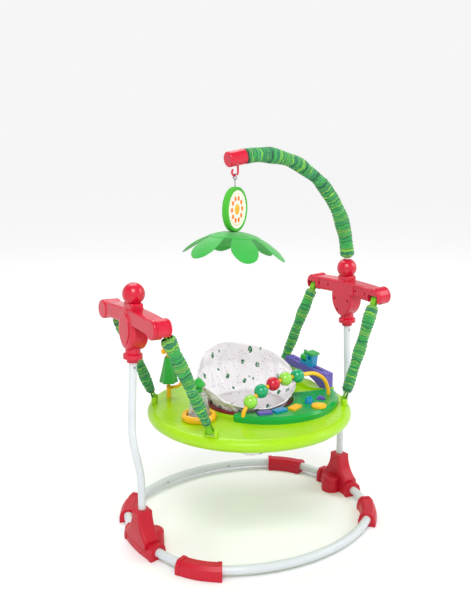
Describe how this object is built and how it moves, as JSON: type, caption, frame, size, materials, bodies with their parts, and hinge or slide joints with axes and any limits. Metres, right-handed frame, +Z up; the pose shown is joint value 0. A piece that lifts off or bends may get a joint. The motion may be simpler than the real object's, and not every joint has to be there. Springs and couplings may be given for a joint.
{
  "type": "baby jumper frame",
  "caption": "Floor-standing bouncing frame: oval tube base, two posts with sprung straps, round toy tray with a turning fabric seat and an overhead toy arm",
  "frame": {"origin": "on the floor, at the middle of the base ring", "axes": "+Z up; +X toward the post that carries the toy arm; -Y toward the key console"},
  "size_m": [0.822, 0.6914, 1.1309],
  "materials": {
    "tube_white": "gloss",
    "lime_plastic": "gloss",
    "foot_red": "satin",
    "green_plastic": "gloss",
    "red_plastic": "gloss",
    "dark_red_plastic": "gloss",
    "blue_plastic": "gloss",
    "yellow_plastic": "gloss",
    "purple_plastic": "gloss",
    "light_green_plastic": "gloss",
    "teal_plastic": "gloss",
    "clear_plastic": "clear",
    "steel": "plain",
    "spring_steel": "plain",
    "sleeve_fabric": "gathered",
    "seat_cloth": "printed",
    "leaf_fabric": "brushed",
    "disc_fabric": "printed"
  },
  "bodies": {
    "frame": {"ring_tube_front": "tube_white", "ring_tube_rear": "tube_white", "post_right": "tube_white", "post_left": "tube_white", "frame_buttons": "steel", "strap_anchor_pins": "steel", "toy_arm_tube": "tube_white", "toy_arm_sleeve": "sleeve_fabric", "toy_arm_cap": "red_plastic", "ball_cap_left": "red_plastic", "ball_socket_right": "red_plastic", "suspension_springs": "spring_steel", "foot_front_right": "foot_red", "spring_sleeve_front_right": "sleeve_fabric", "foot_front_left": "foot_red", "spring_sleeve_front_left": "sleeve_fabric", "foot_rear_right": "foot_red", "spring_sleeve_rear_right": "sleeve_fabric", "foot_rear_left": "foot_red", "spring_sleeve_rear_left": "sleeve_fabric", "leg_socket_right": "red_plastic", "housing_outer_right": "red_plastic", "housing_inner_right": "red_plastic", "housing_collar_right": "red_plastic", "leg_socket_left": "red_plastic", "housing_outer_left": "red_plastic", "housing_inner_left": "red_plastic", "housing_collar_left": "red_plastic"},
    "tray": {"tray_shell": "lime_plastic", "tray_base": "lime_plastic", "strap_tabs": "lime_plastic", "console_shell": "green_plastic", "bead_bar": "yellow_plastic", "bridge_arch": "purple_plastic", "bridge_footing": "lime_plastic", "tumbler_dish": "yellow_plastic", "flower_bracket": "yellow_plastic"},
    "seat": {"seat_ring": "dark_red_plastic", "seat_bucket": "seat_cloth", "seat_back": "seat_cloth"},
    "key_purple": {"key_purple": "purple_plastic"},
    "key_blue": {"key_blue": "blue_plastic"},
    "key_yellow": {"key_yellow": "yellow_plastic"},
    "knob": {"turn_knob": "blue_plastic"},
    "spinner": {"toothed_spinner": "yellow_plastic"},
    "roller": {"roller_drum": "purple_plastic"},
    "train": {"train_cab": "blue_plastic", "train_boiler": "green_plastic"},
    "tumbler": {"tumbler_cup": "clear_plastic", "tumbler_crown": "leaf_fabric"},
    "flower": {"flower_stem": "yellow_plastic", "flower_skirt": "leaf_fabric"},
    "mobile_link": {"mobile_link": "steel"},
    "mobile": {"mobile_disc": "disc_fabric", "mobile_canopy": "leaf_fabric"},
    "bead_1": {"bead_1": "light_green_plastic"},
    "bead_2": {"bead_2": "teal_plastic"},
    "bead_3": {"bead_3": "red_plastic"},
    "bead_4": {"bead_4": "light_green_plastic"},
    "bead_5": {"bead_5": "teal_plastic"}
  },
  "joints": [
    {"name": "bounce", "type": "slide", "parent": "frame", "child": "tray", "axis": [0, 0, 1], "range_m": [-0.1, 0.05], "stiffness_N_per_m": 2500, "springref_m": 0.01893, "deforming": ["spring_sleeve_front_right", "spring_sleeve_front_left", "spring_sleeve_rear_right", "spring_sleeve_rear_left", "suspension_springs"]},
    {"name": "seat_spin", "type": "hinge", "parent": "tray", "child": "seat", "pos_m": [0, 0, 0.38], "axis": [0, 0, 1], "range_deg": [-180, 180], "deforming": ["seat_back"]},
    {"name": "bead_1_spin", "type": "hinge", "parent": "tray", "child": "bead_1", "pos_m": [-0.0781, -0.1221, 0.4227], "axis": [0.7643, 0.026, 0.6443], "continuous": true},
    {"name": "bead_2_spin", "type": "hinge", "parent": "tray", "child": "bead_2", "pos_m": [-0.0403, -0.1208, 0.4477], "axis": [0.8966, 0.0305, 0.4418], "continuous": true},
    {"name": "bead_3_spin", "type": "hinge", "parent": "tray", "child": "bead_3", "pos_m": [0.003, -0.1194, 0.4614], "axis": [0.9715, 0.0331, 0.2349], "continuous": true},
    {"name": "bead_4_spin", "type": "hinge", "parent": "tray", "child": "bead_4", "pos_m": [0.0478, -0.1178, 0.4685], "axis": [0.9968, 0.0339, 0.0724], "continuous": true},
    {"name": "bead_5_spin", "type": "hinge", "parent": "tray", "child": "bead_5", "pos_m": [0.0933, -0.1163, 0.4696], "axis": [0.9994, 0.034, -0.0031], "continuous": true},
    {"name": "key_purple_press", "type": "slide", "parent": "tray", "child": "key_purple", "axis": [0, 0, 1], "range_m": [-0.004, 0], "stiffness_N_per_m": 300, "springref_m": 0.002},
    {"name": "key_blue_press", "type": "slide", "parent": "tray", "child": "key_blue", "axis": [0, 0, 1], "range_m": [-0.004, 0], "stiffness_N_per_m": 300, "springref_m": 0.002},
    {"name": "key_yellow_press", "type": "slide", "parent": "tray", "child": "key_yellow", "axis": [0, 0, 1], "range_m": [-0.004, 0], "stiffness_N_per_m": 300, "springref_m": 0.002},
    {"name": "knob_turn", "type": "hinge", "parent": "tray", "child": "knob", "pos_m": [0.1195, -0.13991, 0.39], "axis": [0, 0, 1], "continuous": true},
    {"name": "spinner_turn", "type": "hinge", "parent": "tray", "child": "spinner", "pos_m": [0.12166, -0.1845, 0.39], "axis": [0, 0, 1], "continuous": true},
    {"name": "roller_turn", "type": "hinge", "parent": "tray", "child": "roller", "pos_m": [0.16983, -0.13509, 0.384], "axis": [0.6225, 0.7826, 0], "continuous": true},
    {"name": "tumbler_turn", "type": "hinge", "parent": "tray", "child": "tumbler", "pos_m": [-0.194, -0.03, 0.41], "axis": [0, 0, 1], "continuous": true},
    {"name": "train_slide", "type": "slide", "parent": "tray", "child": "train", "axis": [-0.138, 0.9821, 0.1282], "range_m": [-0.035, 0.035]},
    {"name": "flower_wobble", "type": "hinge", "parent": "tray", "child": "flower", "pos_m": [-0.176, 0.184, 0.404], "axis": [0, 1, 0], "range_deg": [-12, 12], "stiffness_Nm_per_rad": 1.2},
    {"name": "mobile_swing", "type": "hinge", "parent": "frame", "child": "mobile_link", "pos_m": [-0.05093, 0, 1.06354], "axis": [0, 1, 0], "range_deg": [-20, 20]},
    {"name": "mobile_spin", "type": "hinge", "parent": "mobile_link", "child": "mobile", "pos_m": [-0.0509, 0, 1], "axis": [0, 0, 1], "continuous": true}
  ]
}
